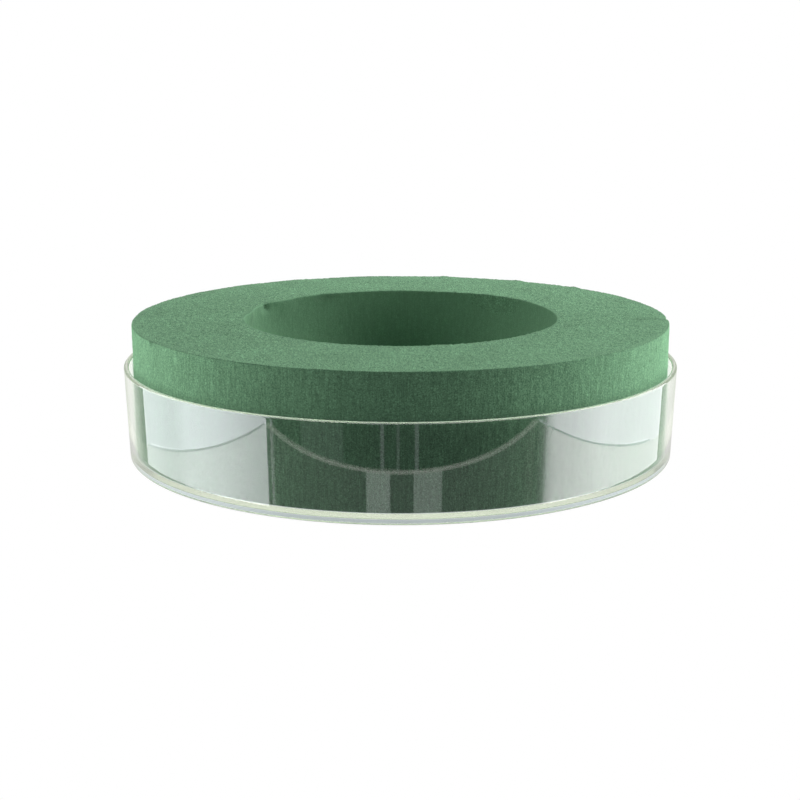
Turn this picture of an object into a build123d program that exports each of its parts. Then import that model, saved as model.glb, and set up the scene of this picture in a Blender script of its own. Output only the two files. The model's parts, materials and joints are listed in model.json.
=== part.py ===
"""Floral foam ring standing in its clear plastic dish.

Millimetres, +Z up. The origin is the centre of the dish's foot ring, on the
surface that the dish stands on, and Z is the axis of both pieces. The dish is
one injection moulding: a foot ring, a raised floor and a drafted wall. The foam
ring is a square-cut block that rests on the floor and lifts straight out.
"""

import os
from math import radians, tan

from build123d import *

# Dish wall: outer size at the rim, and the draft that lets it leave its mould.
rim_radius = 125.0
dish_height = 40.8
wall_draft = 1.8
wall_thickness = 2.2
rim_round = 0.8

# Dish floor, held clear of the table by a foot ring under the wall.
foot_height = 2.0
foot_width = 3.2
foot_outer_round = 0.6
foot_inner_round = 0.5
floor_thickness = 2.0
floor_corner_round = 0.7

# Foam ring: straight-sided block with a plain round bore.
foam_radius = 120.8
foam_bore_radius = 71.0
foam_height = 55.6
foam_edge_round = 0.4

# Heights and radii that follow from the sizes above.
draft_slope = tan(radians(wall_draft))
floor_top = foot_height + floor_thickness
foot_radius = rim_radius - dish_height * draft_slope
foot_inner_radius = foot_radius - foot_width
rim_inner_radius = rim_radius - wall_thickness
floor_radius = rim_inner_radius - (dish_height - floor_top) * draft_slope

# Corners of the dish's half section that are rounded, each (radius, height).
foot_outer_corner = (foot_radius, 0)
foot_inner_corner = (foot_inner_radius, 0)
floor_corner = (floor_radius, floor_top)


def nearest_corner(section, place):
    """The corner of a section sketch nearest to a (radius, height) place."""
    return section.vertices().sort_by_distance(place)[0]


os.makedirs("parts", exist_ok=True)

# Tray: half of the dish's cross-section, turned once round the axis.
with BuildPart() as tray:
    with BuildSketch(Plane.XZ) as half_section:
        with BuildLine():
            Polyline(
                (0, foot_height),
                (foot_inner_radius, foot_height),
                foot_inner_corner,
                foot_outer_corner,
                (rim_radius, dish_height),
                (rim_inner_radius, dish_height),
                floor_corner,
                (0, floor_top),
                close=True,
            )
        make_face()
        fillet(half_section.vertices().group_by(Axis.Y)[-1], radius=rim_round)
        fillet(nearest_corner(half_section, foot_outer_corner), radius=foot_outer_round)
        fillet(nearest_corner(half_section, foot_inner_corner), radius=foot_inner_round)
        fillet(nearest_corner(half_section, floor_corner), radius=floor_corner_round)
    revolve(axis=Axis.Z, revolution_arc=360)

# Foam ring: a flat ring raised to its height, its cut edges just broken.
with BuildPart() as foam_ring:
    with BuildSketch(Plane.XY.offset(floor_top)):
        Circle(foam_radius)
        Circle(foam_bore_radius, mode=Mode.SUBTRACT)
    extrude(amount=foam_height)
    fillet(foam_ring.edges().filter_by(GeomType.CIRCLE), radius=foam_edge_round)

tray.part.label = "tray"
foam_ring.part.label = "foam_ring"
export_step(tray.part, "parts/tray.step")
export_step(foam_ring.part, "parts/foam_ring.step")

print("gap between the foam and the wall at the floor:", round(floor_radius - foam_radius, 2))
print("gap between the foam and the wall at the rim:", round(rim_inner_radius - foam_radius, 2))
print("overall height:", round(floor_top + foam_height, 2))
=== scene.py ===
"""Looks for a ring of green floral foam standing in its clear plastic dish.

Metres, +Z up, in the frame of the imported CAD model. Both CAD pieces are replaced
by finer meshes of the same size: the dish as one clear moulding and the foam as
a cut block with cells, tool marks and broken edges. Angles round the ring are
in degrees from the front, positive towards +X.
"""

import json

import bpy
import numpy as np
from mathutils import Matrix, Vector


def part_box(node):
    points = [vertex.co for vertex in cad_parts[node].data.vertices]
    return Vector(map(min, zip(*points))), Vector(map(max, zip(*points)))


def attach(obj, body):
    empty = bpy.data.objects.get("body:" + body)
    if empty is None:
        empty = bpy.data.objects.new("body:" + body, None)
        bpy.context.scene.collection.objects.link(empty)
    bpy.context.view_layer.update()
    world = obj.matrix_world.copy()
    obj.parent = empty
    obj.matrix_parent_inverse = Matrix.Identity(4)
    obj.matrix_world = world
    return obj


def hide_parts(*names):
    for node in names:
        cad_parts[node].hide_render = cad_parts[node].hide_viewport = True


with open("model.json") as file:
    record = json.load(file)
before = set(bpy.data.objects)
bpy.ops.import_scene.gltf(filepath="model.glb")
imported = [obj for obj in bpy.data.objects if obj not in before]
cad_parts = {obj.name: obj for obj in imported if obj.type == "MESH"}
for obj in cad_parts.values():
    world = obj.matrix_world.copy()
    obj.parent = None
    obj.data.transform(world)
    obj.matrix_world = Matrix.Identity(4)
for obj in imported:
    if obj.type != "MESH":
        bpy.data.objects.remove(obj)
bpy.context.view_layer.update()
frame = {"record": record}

MM = 0.001

# Places and sizes read from the frame.
_, dish_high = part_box("tray")
foam_low, foam_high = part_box("foam_ring")
mounts = {mount["name"]: mount for mount in frame["record"]["mounts"]}
RIM_RADIUS = dish_high.x
DISH_HEIGHT = dish_high.z
FOAM_RADIUS = foam_high.x
FOAM_BOTTOM = foam_low.z
FOAM_TOP = foam_high.z
BORE_RADIUS = mounts["candle_well"]["dims"]["r_mm"] * MM

# Dish wall, floor and foot ring, as the CAD section has them.
WALL = 2.2 * MM
WALL_SLOPE = np.tan(np.radians(1.8))
FOOT_HEIGHT = 2.0 * MM
FOOT_WIDTH = 3.2 * MM
FLOOR_TOP = FOAM_BOTTOM
RIM_ROUND = 0.8 * MM
FLOOR_CORNER_ROUND = 0.7 * MM
FOOT_OUTER_ROUND = 0.6 * MM
FOOT_INNER_ROUND = 0.5 * MM
FOOT_HOLLOW_ROUND = 0.4 * MM

# Dish grid: columns round the dish, and how close to an arc a support point lies.
DISH_COLUMNS = 720
DISH_SUPPORT = 0.15 * MM

# Foam grid: columns round the ring, the spacing of its rows, the chamfer at its corners,
# how close to a corner an extra row keeps it crisp, and the gap above the dish floor.
FOAM_COLUMNS = 1000
FINE_ROW = 0.9 * MM
COARSE_ROW = 2.4 * MM
FOAM_CORNER = 0.3 * MM
FOAM_SUPPORT = 0.25 * MM
FOAM_GAP = 0.15 * MM

# The foam mesh's attribute that its material multiplies its colour by: painted shade and lighter
# spots.
BRIGHTNESS = "brightness"

# Camera, fitted to the object's circles.
CAMERA_PLACE = (-0.0002, -0.6457, 0.1743)
CAMERA_PITCH = 13.455
CAMERA_LENS = 64.53
SENSOR = 36.0


# ---------------------------------------------------------------- meshes

def new_object(name, points, faces, smooth=True):
    """A mesh object from arrays of points and faces, linked to the scene."""
    mesh = bpy.data.meshes.new(name)
    mesh.from_pydata([tuple(p) for p in points], [], [tuple(f) for f in faces])
    mesh.polygons.foreach_set("use_smooth", np.full(len(mesh.polygons), smooth))
    mesh.update()
    made = bpy.data.objects.new(name, mesh)
    bpy.context.scene.collection.objects.link(made)
    return made


def corner_arc(before, here, after, rounding, arc_points):
    """Points of the arc that rounds the corner at here, as (radius, height)."""
    if rounding == 0:
        return [here]
    back = (before - here).normalized()
    on = (after - here).normalized()
    half = back.angle(on) / 2
    centre = here + (back + on).normalized() * (rounding / np.sin(half))
    start = here + back * (rounding / np.tan(half)) - centre
    sweep = start.angle_signed(here + on * (rounding / np.tan(half)) - centre)
    shares = np.linspace(0, 1, arc_points)
    return [centre + start @ Matrix.Rotation(sweep * float(share), 2) for share in shares]


def rounded_outline(corners, arc_points=7, run=2.5 * MM):
    """Points along a (radius, height, rounding) outline, its corners rounded.

    Straight runs are divided, with a support point close to each arc, so that
    smooth shading keeps them flat.
    """
    flat = [Vector(corner[:2]) for corner in corners]
    roundings = [corner[2] for corner in corners]
    arcs = [[flat[0]]]
    for before, here, after, rounding in zip(flat, flat[1:], flat[2:], roundings[1:]):
        arcs.append(corner_arc(before, here, after, rounding, arc_points))
    arcs.append([flat[-1]])
    outline = list(arcs[0])
    for arc, following in zip(arcs, arcs[1:]):
        start, finish = arc[-1], following[0]
        length = (finish - start).length
        support = min(DISH_SUPPORT, length / 4)
        count = max(2, int(length / run))
        shares = np.linspace(support / length, 1 - support / length, count)
        outline += [start.lerp(finish, float(share)) for share in shares]
        outline += following
    return outline


def lathe(name, outline, columns):
    """A closed solid turned from an outline that starts and ends on the axis."""
    angles = np.linspace(0, 2 * np.pi, columns, endpoint=False)
    rings = outline[1:-1]
    points = [(0, 0, outline[0].y), (0, 0, outline[-1].y)]
    for place in rings:
        points += [(place.x * np.cos(a), place.x * np.sin(a), place.y) for a in angles]
    faces = []
    last = 2 + (len(rings) - 1) * columns
    for column in range(columns):
        following = (column + 1) % columns
        faces.append((0, 2 + following, 2 + column))
        faces.append((1, last + column, last + following))
        for ring in range(len(rings) - 1):
            low = 2 + ring * columns
            high = low + columns
            faces.append((low + column, low + following, high + following, high + column))
    return new_object(name, points, faces)


def make_tray():
    """The dish: foot ring, raised floor, drafted wall and rounded rim, one solid."""
    foot_radius = RIM_RADIUS - DISH_HEIGHT * WALL_SLOPE
    rim_inside = RIM_RADIUS - WALL
    floor_radius = rim_inside - (DISH_HEIGHT - FLOOR_TOP) * WALL_SLOPE
    corners = [
        (0, FOOT_HEIGHT, 0),
        (foot_radius - FOOT_WIDTH, FOOT_HEIGHT, FOOT_HOLLOW_ROUND),
        (foot_radius - FOOT_WIDTH, 0, FOOT_INNER_ROUND),
        (foot_radius, 0, FOOT_OUTER_ROUND),
        (RIM_RADIUS, DISH_HEIGHT, RIM_ROUND),
        (rim_inside, DISH_HEIGHT, RIM_ROUND),
        (floor_radius, FLOOR_TOP, FLOOR_CORNER_ROUND),
        (0, FLOOR_TOP, 0),
    ]
    return lathe("dish", rounded_outline(corners), DISH_COLUMNS)


# ---------------------------------------------------------------- noise

# Keeps the lattice corners of the noise positive.
LATTICE_OFFSET = 1000


def hashed(x, y, z, seed):
    """A repeatable number from 0 to 1 for each whole-numbered lattice corner."""
    mixed = (
        x.astype(np.uint64) * np.uint64(0x9E3779B97F4A7C15)
        ^ y.astype(np.uint64) * np.uint64(0xC2B2AE3D27D4EB4F)
        ^ z.astype(np.uint64) * np.uint64(0x165667B19E3779F9)
        ^ np.uint64(seed * 7919 + 1)
    )
    mixed ^= mixed >> np.uint64(31)
    mixed *= np.uint64(0xBF58476D1CE4E5B9)
    mixed ^= mixed >> np.uint64(29)
    return (mixed >> np.uint64(40)).astype(float) / 2**24


def soft_noise(points, cell, seed):
    """Smooth noise from -1 to 1 over points, with features about one cell wide."""
    scaled = points / cell + LATTICE_OFFSET
    base = np.floor(scaled)
    share = scaled - base
    share = share * share * (3 - 2 * share)
    base = base.astype(np.int64)
    total = 0
    for corner in np.ndindex(2, 2, 2):
        weight = np.prod(np.where(corner, share, 1 - share), axis=-1)
        place = base + np.array(corner)
        total = total + weight * hashed(place[..., 0], place[..., 1], place[..., 2], seed)
    return 2 * total - 1


# ---------------------------------------------------------------- foam ring

# How deep the foam's open cells are on each face. They are shallower on top close to the
# outer edge: the least share of them left there, and how far in they are whole again.
# The underside, which rests on the dish floor, keeps only a share of its hollows.
CELL_SEED = 20
TOP_CELLS = 0.15 * MM
BORE_CELLS = 0.02 * MM
SIDE_CELLS = 0.04 * MM
LEAST_CELLS = 0.25
WHOLE_CELLS_FROM = 5 * MM
UNDERSIDE_HOLLOWS = 0.5

# The waves of the cut: depth, size and seed of each.
FOAM_WAVES = [(0.04 * MM, 2.2 * MM, 1), (0.16 * MM, 14 * MM, 2)]

# Upright saw ribs on the walls: width, length, depth on each wall, and seed.
RIB_WIDTH = 1.5 * MM
RIB_LENGTH = 12 * MM
SIDE_RIBS = 0.04 * MM
BORE_RIBS = 0.015 * MM
RIB_SEED = 3

# Crumbled edges: width of the teeth and size of the patches that crumble more, what is
# added to the noise of each, the least that a patch crumbles, and the seeds.
TOOTH_WIDTH, TOOTH_OFFSET, TOOTH_SEED = 1.1 * MM, 0.25, 4
PATCH_SIZE, PATCH_OFFSET, PATCH_SEED = 22 * MM, 0.75, 5
LEAST_CRUMBLING = 0.15

# How deep the top edges and the foot wear, how far from the edge that reaches, and the
# distance that stands for no edge at all.
EDGE_WEAR, EDGE_REACH = 0.25 * MM, 0.7 * MM
FOOT_WEAR, FOOT_REACH = 0.8 * MM, 0.9 * MM
NO_EDGE = 1.0

# Dents and bumps: angle, radius and height from the top at the middle, how far each
# reaches round, out and up, and how far its points move outwards from the axis and upwards.
# All but the angle are in mm, here and in the two lists that follow.
FOAM_MARKS = [
    ((-58.8, 120.8, -0.3), (1.5, 1.5, 1.2), (-0.6, -0.3)),
    ((-54.5, 120.8, -0.4), (6.0, 1.5, 1.2), (-0.5, -0.15)),
    ((-50.0, 120.8, -3.0), (3.0, 1.5, 2.0), (-0.3, 0.0)),
    ((62.8, 120.8, -4.8), (0.9, 1.5, 0.8), (-0.5, 0.0)),
    ((59.2, 120.8, -8.3), (0.8, 1.5, 0.8), (-0.5, 0.0)),
    ((56.3, 120.8, -9.3), (1.0, 1.5, 0.7), (-0.5, 0.0)),
    ((86.6, 120.8, 0.0), (3.0, 2.5, 2.5), (-0.6, -0.4)),
    ((168.7, 120.8, 0.0), (4.0, 2.5, 1.5), (0.2, 0.4)),
    ((149.1, 120.8, 0.0), (3.5, 2.5, 1.5), (0.2, 0.45)),
    ((132.4, 120.8, 0.0), (3.0, 2.5, 1.5), (0.2, 0.35)),
    ((-116.2, 71.0, -0.7), (5.0, 3.0, 3.0), (1.6, -0.3)),
    ((-117.0, 71.0, -1.6), (1.4, 2.0, 1.1), (1.2, 0.0)),
    ((-128.0, 71.0, -2.2), (7.0, 4.0, 6.0), (-1.2, -0.1)),
    ((-97.0, 71.0, -1.0), (9.0, 4.0, 6.0), (-1.6, 0.0)),
    ((-146.7, 71.0, -0.8), (4.5, 3.0, 1.6), (1.0, -0.2)),
    ((138.5, 71.0, -1.2), (28.0, 6.0, 12.0), (1.8, 0.0)),
]

# Painted shade in nicks, pits and dents and on a bump in the bore, and two lighter patches on
# the side: place and reach as above, and the share each adds to the foam's brightness.
FOAM_SHADE_AND_PALE_SPOTS = [
    ((-58.8, 120.8, -0.6), (1.6, 1.5, 1.0), -0.2),
    ((-52.0, 120.8, -1.6), (4.0, 2.0, 1.5), 0.16),
    ((-49.1, 120.8, -4.0), (2.0, 2.0, 1.6), 0.18),
    ((62.8, 120.8, -4.8), (0.8, 1.5, 0.8), -0.3),
    ((59.2, 120.8, -8.3), (0.8, 1.5, 0.8), -0.3),
    ((56.3, 120.8, -9.3), (0.8, 1.5, 1.0), -0.3),
    ((-117.0, 71.0, -1.7), (2.6, 2.0, 1.4), -0.3),
    ((-148.6, 71.0, -1.8), (7.0, 2.0, 2.0), -0.25),
    ((-98.4, 71.0, -3.0), (2.5, 2.0, 3.0), -0.2),
]

# Grooves scored across the top: angle and radius at each end, width, depth, and the share
# of painted shade that each takes from the foam's brightness along it.
FOAM_GROOVES = [
    ((84.0, 103.0), (85.4, 121.5), 1.1, 0.1, 0.6),
    ((102.3, 91.0), (99.8, 115.0), 0.9, 0.3, 0.1),
]

# A groove's wander to the side and how far through its waves it runs, in radians, and
# the share of its depth that it starts with.
GROOVE_WANDER = 0.2 * MM
GROOVE_WAVES = 7
GROOVE_START = 0.3


def ring_place(angle, radius, height):
    """The point at an angle from the front, and at a radius and a height in mm."""
    turn = np.radians(angle)
    return np.array([radius * np.sin(turn), -radius * np.cos(turn), height]) * MM


def straight_rows(start, finish, spacing, face):
    """Rows along one face of the section, with an extra one close to each of its ends."""
    start, finish = np.array(start), np.array(finish)
    length = np.linalg.norm(finish - start)
    count = max(2, int(round(length / spacing)) + 1)
    support = FOAM_SUPPORT / length
    shares = sorted([*np.linspace(0, 1, count), support, 1 - support])
    return [(start + (finish - start) * share, face) for share in shares]


def foam_section():
    """The foam's section as rows: the place and the face of each row."""
    inner, outer = BORE_RADIUS, FOAM_RADIUS
    low, high = FOAM_BOTTOM + FOAM_GAP, FOAM_TOP
    corner = FOAM_CORNER
    rows = []
    rows += straight_rows((outer, low + corner), (outer, high - corner), FINE_ROW, "side")
    rows += straight_rows((outer - corner, high), (inner + corner, high), FINE_ROW, "top")
    rows += straight_rows((inner, high - corner), (inner, low + corner), FINE_ROW, "bore")
    rows += straight_rows((inner + corner, low), (outer - corner, low), COARSE_ROW, "bottom")
    return rows


def groove_profile(places, start, finish, width):
    """How much of its depth a scored line has at each foam point, from 0 to 1."""
    first = ring_place(*start, FOAM_TOP / MM)
    last = ring_place(*finish, FOAM_TOP / MM)
    along = last - first
    share = np.clip(((places - first) @ along) / (along @ along), 0, 1)
    across = np.linalg.norm(places - first - share[..., None] * along, axis=-1)
    wander = GROOVE_WANDER * np.sin(share * GROOVE_WAVES)
    deepened = GROOVE_START + (1 - GROOVE_START) * share
    return np.exp(-(np.abs(across - wander) / (width * MM)) ** 2) * deepened


def mark_falloff(places, middle, reach):
    """How much of a mark there is at each foam point: 1 at its middle, 0 far from it."""
    angle, radius, height = middle
    away = (places - ring_place(angle, radius, height + FOAM_TOP / MM)) / MM
    turn = np.radians(angle)
    round_about = away[..., 0] * np.cos(turn) + away[..., 1] * np.sin(turn)
    out = away[..., 0] * np.sin(turn) - away[..., 1] * np.cos(turn)
    steps = (round_about / reach[0], out / reach[1], away[..., 2] / reach[2])
    return np.exp(-sum(step**2 for step in steps))


def wall_noise(column_angles, width, upwards, seed):
    """Smooth noise in features of one width round the foam, that change upwards too."""
    around = column_angles[None, :] * FOAM_RADIUS / width
    places = np.stack(np.broadcast_arrays(around, upwards, 0 * upwards), axis=-1)
    return soft_noise(places, 1.0, seed)


def crumbling(places, side, top, bore, column_angles):
    """How far each foam point falls back where the edges and the foot crumble."""
    radius = np.hypot(places[..., 0], places[..., 1])
    height = places[..., 2]

    # The edge stays whole between the teeth, and some patches crumble more than others.
    teeth = wall_noise(column_angles, TOOTH_WIDTH, 0 * height, TOOTH_SEED)
    ragged = np.clip(teeth + TOOTH_OFFSET, 0, None)
    uneven = soft_noise(places, PATCH_SIZE, PATCH_SEED)
    patches = np.clip(uneven + PATCH_OFFSET, LEAST_CRUMBLING, None)

    from_top = FOAM_TOP - height
    outer_edge = np.where(side, from_top, np.where(top, FOAM_RADIUS - radius, NO_EDGE))
    bore_edge = np.where(bore, from_top, np.where(top, radius - BORE_RADIUS, NO_EDGE))
    foot = np.where(side | bore, height - FOAM_BOTTOM, NO_EDGE)
    edge = np.minimum(outer_edge, bore_edge)
    wear = EDGE_WEAR * np.exp(-edge / EDGE_REACH) + FOOT_WEAR * np.exp(-foot / FOOT_REACH)
    return ragged * patches * wear


def foam_displacement(places, faces, column_angles):
    """How far each foam point moves along its outward direction, in metres."""
    random = np.random.default_rng(CELL_SEED)
    side = (faces == "side")[:, None]
    top = (faces == "top")[:, None]
    bore = (faces == "bore")[:, None]
    bottom = (faces == "bottom")[:, None]
    radius = np.hypot(places[..., 0], places[..., 1])
    height = places[..., 2]

    # Open cells, and the slight waviness of a hot-wire or saw cut.
    inland = np.clip((FOAM_RADIUS - radius) / WHOLE_CELLS_FROM, LEAST_CELLS, 1)
    cells = np.where(top, TOP_CELLS * inland, np.where(bore, BORE_CELLS, SIDE_CELLS))
    move = random.normal(0, 1, radius.shape) * cells
    for depth, size, seed in FOAM_WAVES:
        move += depth * soft_noise(places, size, seed)

    # Upright saw strokes on the walls, as fine ribs that fade in and out.
    ribs = wall_noise(column_angles, RIB_WIDTH, height / RIB_LENGTH, RIB_SEED)
    move += ribs * np.where(side, SIDE_RIBS, np.where(bore, BORE_RIBS, 0))

    move -= crumbling(places, side, top, bore, column_angles)
    for start, finish, width, depth, _ in FOAM_GROOVES:
        move -= np.where(top, depth * MM * groove_profile(places, start, finish, width), 0)

    # The underside stays flat where it stands on the dish floor.
    return np.where(bottom, np.clip(move, None, 0) * UNDERSIDE_HOLLOWS, move)


def mark_shift(places):
    """How far the nicks, bulges and crumbs move each foam point: outwards and upwards."""
    shift = np.zeros((*places.shape[:2], 2))
    for middle, reach, outwards_and_upwards in FOAM_MARKS:
        share = mark_falloff(places, middle, reach)[..., None]
        shift += share * np.array(outwards_and_upwards) * MM
    return shift


def foam_brightness(places):
    """What the foam's colour is multiplied by at each point: painted shade and lighter spots."""
    brightness = np.ones(places.shape[:2])
    # Painted shade in nicks, pits and dents and on a bump, and two lighter patches.
    for middle, reach, share in FOAM_SHADE_AND_PALE_SPOTS:
        brightness += share * mark_falloff(places, middle, reach)
    # Painted shade along the scored grooves.
    for start, finish, width, _, share in FOAM_GROOVES:
        brightness -= share * groove_profile(places, start, finish, width)
    return brightness


def grid_quads(rows, columns):
    """The faces of a grid of points that closes on itself both ways."""
    row = np.arange(rows)[:, None] * columns
    next_row = (np.arange(rows)[:, None] + 1) % rows * columns
    column = np.arange(columns)[None, :]
    next_column = (column + 1) % columns
    corners = [row + column, row + next_column, next_row + next_column, next_row + column]
    return np.stack(corners, axis=-1).reshape(-1, 4)


def make_foam():
    """The foam ring as one closed grid of rows round its section."""
    rows = foam_section()
    faces = np.array([face for _, face in rows])
    directions = {"side": (1, 0), "top": (0, 1), "bore": (-1, 0), "bottom": (0, -1)}
    outward = np.array([directions[face] for face in faces], float)
    section = np.array([place for place, _ in rows])
    angles = np.linspace(0, 2 * np.pi, FOAM_COLUMNS, endpoint=False)
    ring = np.stack([np.sin(angles), -np.cos(angles)], axis=-1)
    flat = section[:, None, :1] * ring[None]
    height = np.repeat(section[:, 1:], FOAM_COLUMNS, axis=1)
    places = np.concatenate([flat, height[..., None]], axis=-1)

    move = foam_displacement(places, faces, angles)
    shift = mark_shift(places)
    brightness = foam_brightness(places)
    places[..., :2] += (move * outward[:, :1] + shift[..., 0])[..., None] * ring[None]
    places[..., 2] += move * outward[:, 1:] + shift[..., 1]
    places[..., 2] = np.maximum(places[..., 2], FOAM_BOTTOM + FOAM_GAP)

    quads = grid_quads(len(rows), FOAM_COLUMNS)
    made = new_object("foam_block", places.reshape(-1, 3), quads)
    stored = made.data.attributes.new(BRIGHTNESS, "FLOAT", "POINT")
    stored.data.foreach_set("value", brightness.ravel())
    return made


# ---------------------------------------------------------------- materials

class Nodes:
    """Short ways to add and link the nodes of one material or world."""

    def __init__(self, tree):
        self.tree = tree

    def add(self, kind, inputs=None, **settings):
        node = self.tree.nodes.new("ShaderNode" + kind)
        for key, value in settings.items():
            setattr(node, key, value)
        for key, value in (inputs or {}).items():
            self.set(node, key, value)
        return node

    def set(self, node, key, value):
        if isinstance(value, bpy.types.NodeSocket):
            self.tree.links.new(value, node.inputs[key])
        else:
            node.inputs[key].default_value = value

    def math(self, operation, first, second=0.0):
        return self.add("Math", {0: first, 1: second}, operation=operation).outputs[0]

    def ramp(self, value, stops):
        node = self.add("ValToRGB", {"Fac": value})
        elements = node.color_ramp.elements
        while len(elements) < len(stops):
            elements.new(0.5)
        for element, (place, colour) in zip(elements, stops):
            element.position = place
            element.color = (*colour, 1)
        return node.outputs["Color"]

    def grey_ramp(self, value, stops):
        return self.ramp(value, [(place, (shade,) * 3) for place, shade in stops])

    def mix(self, factor, first, second, blend="MIX"):
        node = self.add("Mix", data_type="RGBA", blend_type=blend)
        for key, value in ((0, factor), (6, first), (7, second)):
            self.set(node, key, value)
        return node.outputs[2]

    def mix_shader(self, factor, first, second):
        return self.add("MixShader", {0: factor, 1: first, 2: second}).outputs[0]


def new_material(name):
    """A material with its nodes helper and its one shader."""
    material = bpy.data.materials.new(name)
    material.use_nodes = True
    nodes = Nodes(material.node_tree)
    return material, nodes, material.node_tree.nodes["Principled BSDF"]


# Foam colours: with its grain smoothed away, and from its dark cells to its pale ones.
FOAM_PLAIN = (0.147, 0.297, 0.168)
FOAM_CELLS = [
    (0.0, (0.10, 0.21, 0.12)), (0.5, (0.145, 0.295, 0.165)), (1.0, (0.2, 0.39, 0.225))]

# How strong the grain is on each face, how far into the foam the smoother bore reaches,
# and the least upward part of a normal on the top.
GRAIN_ON_TOP, GRAIN_ON_SIDE, GRAIN_IN_BORE = 1.0, 0.72, 0.3
BORE_SKIN = 1.2 * MM
TOP_FACING = 0.7


def foam_grain(nodes, place):
    """The strength of the foam's grain: full on top, less on the side, least in the bore."""
    flat = nodes.add("VectorMath", {0: place, 1: (1, 1, 0)}, operation="MULTIPLY").outputs[0]
    radius = nodes.add("VectorMath", {0: flat}, operation="LENGTH").outputs["Value"]
    in_bore = nodes.math("LESS_THAN", radius, BORE_RADIUS + BORE_SKIN)
    facing = nodes.add("SeparateXYZ", {0: nodes.add("TexCoord").outputs["Normal"]}).outputs["Z"]
    upward = nodes.math("GREATER_THAN", facing, TOP_FACING)
    outside = nodes.add("Mix", {0: upward, 2: GRAIN_ON_SIDE, 3: GRAIN_ON_TOP}).outputs[0]
    return nodes.add("Mix", {0: in_bore, 2: outside, 3: GRAIN_IN_BORE}).outputs[0]


def foam_material():
    """Open-celled phenolic foam: dusty green, pitted, with upright cut strokes."""
    material, nodes, shader = new_material("floral_foam")
    place = nodes.add("TexCoord").outputs["Object"]
    stretch = nodes.add("Mapping", {"Vector": place, "Scale": (1.0, 1.0, 0.06)}).outputs[0]
    cells = nodes.add("TexVoronoi", {"Vector": place, "Scale": 2400.0})
    fine = nodes.add("TexNoise", {"Vector": place, "Scale": 2500.0, "Detail": 1.0})
    strokes = nodes.add("TexNoise", {"Vector": stretch, "Scale": 1900.0, "Detail": 1.0})
    broad = nodes.add("TexNoise", {"Vector": place, "Scale": 38.0, "Detail": 4.0})
    grain = foam_grain(nodes, place)

    speck = nodes.add("SeparateColor", {0: cells.outputs["Color"]}).outputs[0]
    colour = nodes.ramp(speck, FOAM_CELLS)
    for noise, low, high in ((fine, 0.57, 1.43), (strokes, 0.8, 1.2), (broad, 0.93, 1.07)):
        shade = nodes.grey_ramp(noise.outputs[0], [(0.3, low), (0.7, high)])
        colour = nodes.mix(1.0, colour, shade, "MULTIPLY")
    colour = nodes.mix(grain, (*FOAM_PLAIN, 1), colour)
    # Painted shade and lighter spots, carried by the mesh attribute.
    marks = nodes.add("Attribute", attribute_name=BRIGHTNESS).outputs["Fac"]
    colour = nodes.mix(1.0, colour, marks, "MULTIPLY")

    rough = nodes.math("ADD", fine.outputs[0], strokes.outputs[0])
    relief = nodes.math("MULTIPLY", rough, grain)
    bump = nodes.add("Bump", {"Height": relief, "Strength": 0.35, "Distance": 0.1 * MM})
    pits = nodes.add("Bump", {"Height": cells.outputs[0], "Strength": 0.35, "Distance": 0.1 * MM,
                              "Normal": bump.outputs[0]})
    nodes.set(shader, "Base Color", colour)
    nodes.set(shader, "Normal", pits.outputs[0])
    nodes.set(shader, "Roughness", 1.0)
    nodes.set(shader, "Specular IOR Level", 0.0)
    nodes.set(shader, "Sheen Weight", 0.05)
    return material


# How much of a lamp's light a wall face lets by, from a ray straight on to one along it.
WALL_PASSES = [(0.0, 0.8), (0.3, 0.85), (0.66, 0.78), (0.83, 0.6), (1.0, 0.0)]


def clear_plastic():
    """Clear polystyrene, faintly rippled and scuffed, cream where light runs along it.

    Lamps reach the foam through it: a wall face lets less of a slanting ray by.
    """
    material, nodes, shader = new_material("clear_polystyrene")
    place = nodes.add("TexCoord").outputs["Object"]
    ripple = nodes.add("TexNoise", {"Vector": place, "Scale": 14.0, "Detail": 1.0})
    scuffs = nodes.add("TexNoise", {"Vector": place, "Scale": 60.0, "Detail": 2.0})
    haze = nodes.grey_ramp(scuffs.outputs[0], [(0.4, 0.02), (0.75, 0.05)])
    bump = nodes.add("Bump", {"Height": ripple.outputs[0], "Strength": 0.1, "Distance": 0.6 * MM})
    nodes.set(shader, "Base Color", (0.99, 0.995, 0.985, 1))
    nodes.set(shader, "Roughness", haze)
    nodes.set(shader, "Normal", bump.outputs[0])
    nodes.set(shader, "IOR", 1.57)
    nodes.set(shader, "Transmission Weight", 1.0)
    slant = nodes.add("LayerWeight").outputs["Facing"]
    passed = nodes.grey_ramp(slant, WALL_PASSES)
    lamp_side = nodes.add("BsdfTransparent", {0: passed}).outputs[0]
    is_shadow = nodes.add("LightPath").outputs["Is Shadow Ray"]
    output = nodes.tree.nodes["Material Output"]
    nodes.set(output, "Surface", nodes.mix_shader(is_shadow, shader.outputs[0], lamp_side))
    tint = nodes.add("VolumeAbsorption", {"Color": (0.4, 0.65, 0.05, 1), "Density": 1.2})
    nodes.set(output, "Volume", tint.outputs[0])
    return material


# ---------------------------------------------------------------- stage

# The dish mirrors a dark room in front, a soft box on each side and the glossy
# table it stands on. What shows straight through it is the white floor and
# backdrop, so the stage tells the two apart by whether a ray has been mirrored.

# Light colours.
WHITE = (1.0, 1.0, 1.0)
COOL = (0.92, 0.93, 1.0)
COOL_RIGHT = (0.93, 0.9, 0.97)
WARM = (1.0, 1.0, 0.93)
PALE_WARM = (1.0, 1.0, 0.97)
GREENISH = (0.88, 1.0, 0.96)
SHADE = (0.86, 0.97, 1.0)

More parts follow.
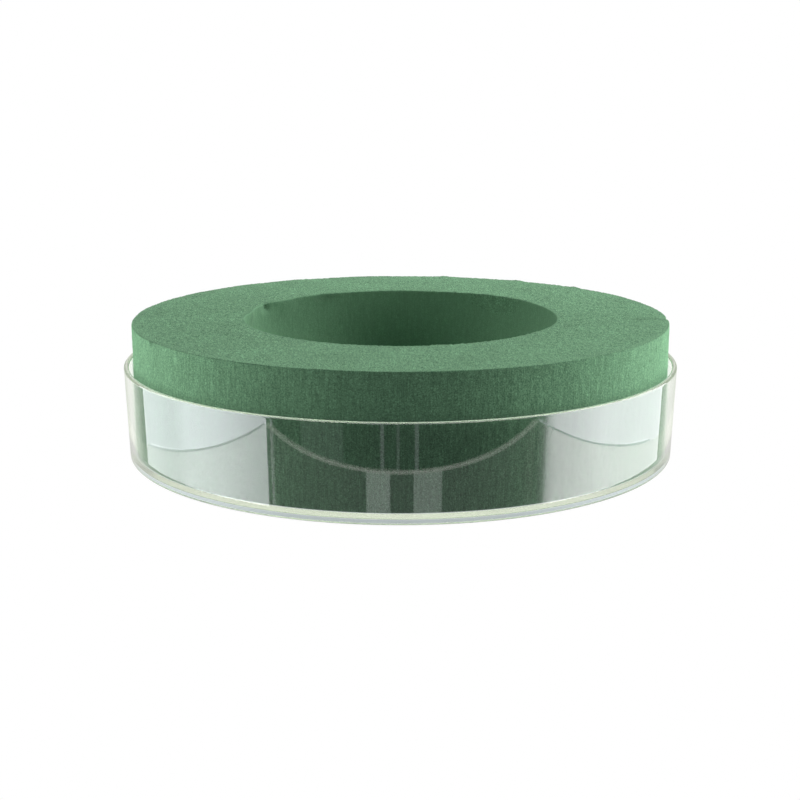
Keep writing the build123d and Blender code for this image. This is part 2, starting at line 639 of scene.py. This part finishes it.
# The white floor, and a ring of it with a painted shadow of the foot: the ring's radii, and
# how the painted shade on it changes from front to back.
FLOOR_REACH = 6.0
FLOOR_HEIGHT = -0.2 * MM
SHADE_INNER, SHADE_OUTER = 0.100, 0.132
SHADE_FADES = [(-0.124, 0.87), (-0.105, 1.1), (-0.085, 1.5), (0.0, 1.5), (0.12, 1.5)]

# The table as the dish mirrors it: its sides, how far back the strips along them run and
# how their light changes, and the radius of the part lit from above under the dish.
TABLE_LEFT, TABLE_RIGHT, TABLE_FRONT, TABLE_BACK = -0.150, 0.158, -0.182, 0.9
TABLE_HEIGHT = -0.5 * MM
TABLE_COLOUR = (0.86, 0.86, 0.83)
TABLE_SHEEN = 0.18
EDGE_WIDTH = 3.5 * MM
EDGE_BACK = -0.03
TABLE_SIDE_FADES = [(-0.185, 1.0), (-0.16, 1.0), (-0.12, 1.35), (-0.07, 1.2), (-0.03, 1.12)]
LIT_TABLE_RADIUS = 0.1345
LIT_TABLE_HEIGHT = 0.6 * TABLE_HEIGHT

# How many sides the stage's round pieces have.
ROUND_SIDES = 180

# How far off the soft boxes and the front lights stand, and how low and high they reach.
BOX_AWAY = 1.2
LIGHTS_FRONT = -1.5
LIGHTS_LOW, LIGHTS_HIGH = -0.6, 1.2

# Lamps for the foam, with the table's mirror images of them below: degrees round
# from the front, degrees up, width and height, and radiance.
LAMP_DISTANCE = 1.3
LAMPS = {
    "left_front": (-62, 12, (0.6, 0.8), 4.15),
    "left_front_below": (-70, -14, (0.6, 0.8), 0.9),
    "left_side_below": (-92, -14, (0.6, 0.8), 6.3),
    "left_back_below": (-115, -14, (0.6, 0.8), 8.4),
    "right_front": (70, 8, (0.6, 1.0), 0.9),
    "right_front_below": (70, -14, (0.6, 0.8), 2.3),
    "right_side": (92, 24, (0.6, 0.8), 3.4),
    "right_side_high": (90, 40, (0.8, 0.8), 2.3),
    "right_side_below": (92, -14, (0.6, 0.8), 5.8),
    "right_back_below": (115, -14, (0.6, 0.8), 9.0),
    "right_back": (150, 8, (0.6, 1.0), 3.7),
    "back_high": (165, 40, (0.8, 0.8), 8.2),
    "left_high": (-100, 40, (0.8, 0.8), 0.4),
}

# The room's even light; its ceiling as the dish mirrors it, as rays see it that have run
# inside the dish, and where it starts by how steeply a ray rises; and the strength of the
# soft boxes for rays that have run inside the dish.
AMBIENT = 0.033
AMBIENT_COLOUR = (0.75, 0.95, 1.4)
CEILING = (2.8, 2.8, 2.8)
CEILING_INSIDE = (1.9, 2.3, 1.6)
CEILING_STARTS = [(0.42, 0.0), (0.52, 1.0)]
BOX_INSIDE = 0.9

# The front lights: left and right ends, low and high ends, colour and strength.
FRONT_LIGHTS = {
    "front_light_left": (-0.35, -0.105, 0.0, LIGHTS_HIGH, GREENISH, 1.2),
    "front_light_right": (0.13, 0.43, 0.0, LIGHTS_HIGH, GREENISH, 1.0),
    "front_haze_left": (-1.2, -0.6, LIGHTS_LOW, 0.0, GREENISH, 0.22),
    "front_edge_left": (-0.2, -0.165, LIGHTS_LOW, 0.0, COOL, 0.55),
    "front_edge_middle": (-0.04, -0.01, LIGHTS_LOW, 0.0, COOL, 0.3),
    "front_edge_right": (0.14, 0.18, LIGHTS_LOW, 0.0, COOL, 0.5),
}

# The soft boxes, and a bright line in front of the left one: how far to the side, front
# and back ends, colour and strength.
SIDE_LIGHTS = {
    "left_box": (-BOX_AWAY, -0.93, 0.845, COOL, 9.15),
    "right_box": (BOX_AWAY, -0.9, 1.01, COOL_RIGHT, 8.8),
    "left_box_edge": (-BOX_AWAY, -1.0, -0.98, COOL, 2.0),
}

# The soft boxes fade towards their ends: how far back, and the share that is left.
# No fade on the stage is given further from the middle than the reach.
FADE_REACH = 2.0
BOX_FADES = {
    "left_box": [
        (-0.93, 0.72), (-0.75, 0.78), (-0.5, 0.92), (-0.36, 0.97), (-0.1, 0.93), (0.03, 0.86),
        (0.1, 0.75), (0.2, 0.62), (0.36, 0.54), (0.6, 0.45), (0.845, 0.33)],
    "right_box": [
        (-0.9, 0.0), (-0.8, 0.1), (-0.73, 0.6), (-0.65, 0.85), (-0.3, 0.96), (-0.1, 1.0),
        (0.25, 0.73), (0.45, 0.61), (0.6, 0.51), (0.73, 0.46), (0.95, 0.38)],
}

# The room that the dish mirrors, by how far back a ray heads: 0 is to the side and 1
# straight back.
MIRRORED_ROOM = [
    (0.0, (0.02, 0.02, 0.02)), (0.62, (0.05, 0.05, 0.05)), (0.65, (0.12, 0.12, 0.12)),
    (0.68, (0.3, 0.3, 0.28)), (0.71, (0.48, 0.51, 0.46)), (0.76, (0.69, 0.73, 0.65))]

# The same for rays that have run inside the dish: -1 is straight to the front.
INSIDE_ROOM = [
    (-0.6, (0.02, 0.02, 0.02)), (-0.5, (0.6, 0.62, 0.57)), (0.5, (0.75, 0.8, 0.72)),
    (0.83, (1.0, 1.0, 0.98)), (0.92, (0.94, 0.96, 0.92)), (1.0, (0.91, 0.93, 0.9))]

# Bounces enough for light to run inside the dish from side to side.
MOST_BOUNCES = 400


def mirrored(nodes):
    """1 for a ray that a surface has mirrored on its way from the camera, else 0."""
    depth = nodes.add("LightPath").outputs["Glossy Depth"]
    return nodes.math("GREATER_THAN", depth, 0.5)


def run_inside(nodes):
    """1 for a ray that has run inside the dish on its way from the camera, else 0."""
    depth = nodes.add("LightPath").outputs["Transmission Depth"]
    return nodes.math("GREATER_THAN", depth, 0.5)


def centred_ramp(nodes, value, half, stops):
    """A ramp over values from -half to half, as grey shares or colours."""
    scaled = nodes.math("MULTIPLY_ADD", value, 0.5 / half)
    nodes.set(scaled.node, 2, 0.5)
    placed = []
    for place, shade in stops:
        colour = shade if isinstance(shade, tuple) else (shade,) * 3
        placed.append((0.5 + place / half / 2, colour))
    return nodes.ramp(scaled, placed)


def glow(name, colour, strength, when_mirrored, fades=(), inside=None):
    """Light for mirrored rays only, or for all the others only; clear to the rest.

    Rays that have run inside the dish see the strength called inside, if it is given.
    Where it fades, the strength is multiplied by the shares given for each Y.
    """
    material, nodes, shader = new_material(name)
    nodes.tree.nodes.remove(shader)
    level = strength
    if inside is not None:
        level = nodes.add("Mix", {0: run_inside(nodes), 2: strength, 3: inside}).outputs[0]
    if fades:
        place = nodes.add("TexCoord").outputs["Object"]
        along = nodes.add("SeparateXYZ", {0: place}).outputs["Y"]
        level = nodes.math("MULTIPLY", centred_ramp(nodes, along, FADE_REACH, fades), level)
    light = nodes.add("Emission", {"Color": (*colour, 1), "Strength": level}).outputs[0]
    clear = nodes.add("BsdfTransparent").outputs[0]
    sides = (clear, light) if when_mirrored else (light, clear)
    shown = nodes.mix_shader(mirrored(nodes), *sides)
    nodes.set(nodes.tree.nodes["Material Output"], "Surface", shown)
    material.cycles.emission_sampling = "NONE"
    return material


def stage_panel(name, corners, material):
    """A flat panel of the stage, which lights nothing by itself."""
    panel = new_object(name, corners, [tuple(range(len(corners)))], smooth=False)
    panel.data.materials.append(material)
    panel.visible_diffuse = False
    panel.visible_shadow = False
    return panel


def level_corners(left, right, front, back, height):
    """The corners of a level rectangle."""
    flat = [(left, front), (right, front), (right, back), (left, back)]
    return [(*place, height) for place in flat]


def upright_corners(first, second, low, high):
    """The corners of an upright rectangle that stands on the line between two places."""
    return [(*first, low), (*second, low), (*second, high), (*first, high)]


def circle(radius, height):
    """Places round a level circle about the axis."""
    turns = np.linspace(0, 2 * np.pi, ROUND_SIDES, endpoint=False)
    return [(radius * np.cos(turn), radius * np.sin(turn), height) for turn in turns]


def make_floor():
    """The pale floor, with a painted shadow of the foot ring on it, seen only through the dish.
    """
    corners = level_corners(-FLOOR_REACH, FLOOR_REACH, -FLOOR_REACH, FLOOR_REACH, FLOOR_HEIGHT)
    white = glow("pale_floor", WHITE, strength=1.0, when_mirrored=False)
    stage_panel("floor", corners, white)

    height = FLOOR_HEIGHT / 2
    points = circle(SHADE_INNER, height) + circle(SHADE_OUTER, height)
    faces = []
    for here in range(ROUND_SIDES):
        following = (here + 1) % ROUND_SIDES
        faces.append((here, ROUND_SIDES + here, ROUND_SIDES + following, following))
    shade = new_object("floor_shade", points, faces, smooth=False)
    # A dimmer glow stands in for the foot's shadow.
    dimmed = glow("shaded_floor", SHADE, strength=0.5, when_mirrored=False, fades=SHADE_FADES)
    shade.data.materials.append(dimmed)
    shade.visible_camera = False
    shade.visible_diffuse = False
    shade.visible_shadow = False


def table_material():
    """The table's gloss, with a faint even sheen."""
    material, nodes, shader = new_material("glossy_table")
    nodes.tree.nodes.remove(shader)
    mirror = nodes.add("BsdfGlossy", {"Color": (*TABLE_COLOUR, 1), "Roughness": 0.03}).outputs[0]
    sheen = nodes.add("Emission", {"Color": (*WHITE, 1), "Strength": TABLE_SHEEN}).outputs[0]
    both = nodes.add("AddShader", {0: mirror, 1: sheen}).outputs[0]
    nodes.set(nodes.tree.nodes["Material Output"], "Surface", both)
    material.cycles.emission_sampling = "NONE"
    return material


def make_table():
    """The glossy table top that the dish mirrors, with its bright edges and middle."""
    line = glow("table_edge", WARM, strength=1.5, when_mirrored=True)
    side = glow("table_side", COOL, strength=2.1, when_mirrored=True, fades=TABLE_SIDE_FADES)
    front = TABLE_FRONT - EDGE_WIDTH
    left, right = TABLE_LEFT - EDGE_WIDTH, TABLE_RIGHT + EDGE_WIDTH
    panels = {
        "table": ((TABLE_LEFT, TABLE_RIGHT, TABLE_FRONT, TABLE_BACK), table_material()),
        "table_edge_front": ((TABLE_LEFT, TABLE_RIGHT, front, TABLE_FRONT), line),
        "table_edge_left": ((left, TABLE_LEFT, TABLE_FRONT, EDGE_BACK), side),
        "table_edge_right": ((TABLE_RIGHT, right, TABLE_FRONT, EDGE_BACK), side),
    }
    for name, (sides, material) in panels.items():
        corners = level_corners(*sides, TABLE_HEIGHT)
        stage_panel(name, corners, material).visible_camera = False
    lit = glow("lit_table", PALE_WARM, strength=0.7, when_mirrored=True)
    under_dish = circle(LIT_TABLE_RADIUS, LIT_TABLE_HEIGHT)
    stage_panel("table_under_dish", under_dish, lit).visible_camera = False


def make_mirrored_room():
    """What the dish mirrors beyond the table: soft boxes, two front lights, thin edges."""
    panels = {}
    for name, (side, front, back, colour, strength) in SIDE_LIGHTS.items():
        corners = upright_corners((side, front), (side, back), LIGHTS_LOW, LIGHTS_HIGH)
        panels[name] = (corners, colour, strength)
    for name, (left, right, low, high, colour, strength) in FRONT_LIGHTS.items():
        corners = upright_corners((left, LIGHTS_FRONT), (right, LIGHTS_FRONT), low, high)
        panels[name] = (corners, colour, strength)
    for name, (corners, colour, strength) in panels.items():
        fades = BOX_FADES.get(name, ())
        inside = BOX_INSIDE if name in BOX_FADES else None
        material = glow(name, colour, strength, when_mirrored=True, fades=fades, inside=inside)
        stage_panel(name, corners, material).visible_camera = False


def mirrored_room(nodes):
    """The room as rays see it that a surface has mirrored: pale at the back, lit above."""
    direction = nodes.add("TexCoord").outputs["Generated"]
    parts = nodes.add("SeparateXYZ", {0: direction})
    back, height = parts.outputs["Y"], parts.outputs["Z"]
    inside = run_inside(nodes)
    beside = nodes.ramp(back, MIRRORED_ROOM)
    beside_inside = centred_ramp(nodes, back, 1.0, INSIDE_ROOM)
    low_colour = nodes.mix(inside, beside, beside_inside)
    high_colour = nodes.mix(inside, (*CEILING, 1), (*CEILING_INSIDE, 1))
    low_room = nodes.add("Background", {"Color": low_colour}).outputs[0]
    high_room = nodes.add("Background", {"Color": high_colour}).outputs[0]
    ceiling = nodes.grey_ramp(height, CEILING_STARTS)
    return nodes.mix_shader(ceiling, low_room, high_room)


def make_world():
    """White where it is seen straight, a room that pales to the back where it is mirrored."""
    world = bpy.data.worlds.new("studio")
    bpy.context.scene.world = world
    world.use_nodes = True
    world.cycles.sampling_method = "NONE"
    nodes = Nodes(world.node_tree)
    for node in list(world.node_tree.nodes):
        if node.type != "OUTPUT_WORLD":
            world.node_tree.nodes.remove(node)
    even = {"Color": (*AMBIENT_COLOUR, 1), "Strength": AMBIENT}
    ambient = nodes.add("Background", even).outputs[0]
    white = nodes.add("Background", {"Color": (*WHITE, 1)}).outputs[0]
    path = nodes.add("LightPath").outputs
    straight = nodes.math("MAXIMUM", path["Is Camera Ray"], path["Is Transmission Ray"])
    open_view = nodes.mix_shader(straight, ambient, white)
    shown = nodes.mix_shader(mirrored(nodes), open_view, mirrored_room(nodes))
    nodes.set(world.node_tree.nodes["World Output"], "Surface", shown)


def make_camera():
    """The camera at the photograph's place and angle."""
    data = bpy.data.cameras.new("camera")
    data.sensor_width = SENSOR
    data.lens = CAMERA_LENS
    data.clip_start = 0.01
    data.clip_end = 50
    camera = bpy.data.objects.new("camera", data)
    camera.location = CAMERA_PLACE
    camera.rotation_euler = (np.radians(90 - CAMERA_PITCH), 0, 0)
    bpy.context.scene.collection.objects.link(camera)
    bpy.context.scene.camera = camera


def make_lamps():
    """Soft lamps round the foam, which the dish doesn't mirror."""
    for name, (azimuth, elevation, size, radiance) in LAMPS.items():
        lamp = bpy.data.lights.new(name, "AREA")
        lamp.shape = "RECTANGLE"
        lamp.size, lamp.size_y = size
        lamp.energy = radiance * np.pi * size[0] * size[1]
        lamp.cycles.use_multiple_importance_sampling = False
        turn, rise = np.radians(azimuth), np.radians(elevation)
        flat = np.cos(rise)
        towards = Vector((np.sin(turn) * flat, -np.cos(turn) * flat, np.sin(rise)))
        made = bpy.data.objects.new(name, lamp)
        made.location = towards * LAMP_DISTANCE + Vector((0, 0, FOAM_TOP / 2))
        made.rotation_euler = towards.to_track_quat("Z", "Y").to_euler()
        made.visible_camera = False
        made.visible_glossy = False
        made.visible_transmission = False
        bpy.context.scene.collection.objects.link(made)


def set_paths():
    """How often light may bounce."""
    cycles = bpy.context.scene.cycles
    cycles.max_bounces = MOST_BOUNCES
    cycles.glossy_bounces = MOST_BOUNCES
    cycles.transmission_bounces = MOST_BOUNCES


# ---------------------------------------------------------------- making

make_camera()
make_world()
make_floor()
make_table()
make_mirrored_room()
make_lamps()
set_paths()
bpy.context.scene.view_settings.view_transform = "Standard"

dish = make_tray()
dish.data.materials.append(clear_plastic())
dish.visible_diffuse = False
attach(dish, "tray")
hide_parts("tray")

foam = make_foam()
foam.data.materials.append(foam_material())
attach(foam, "foam")
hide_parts("foam_ring")
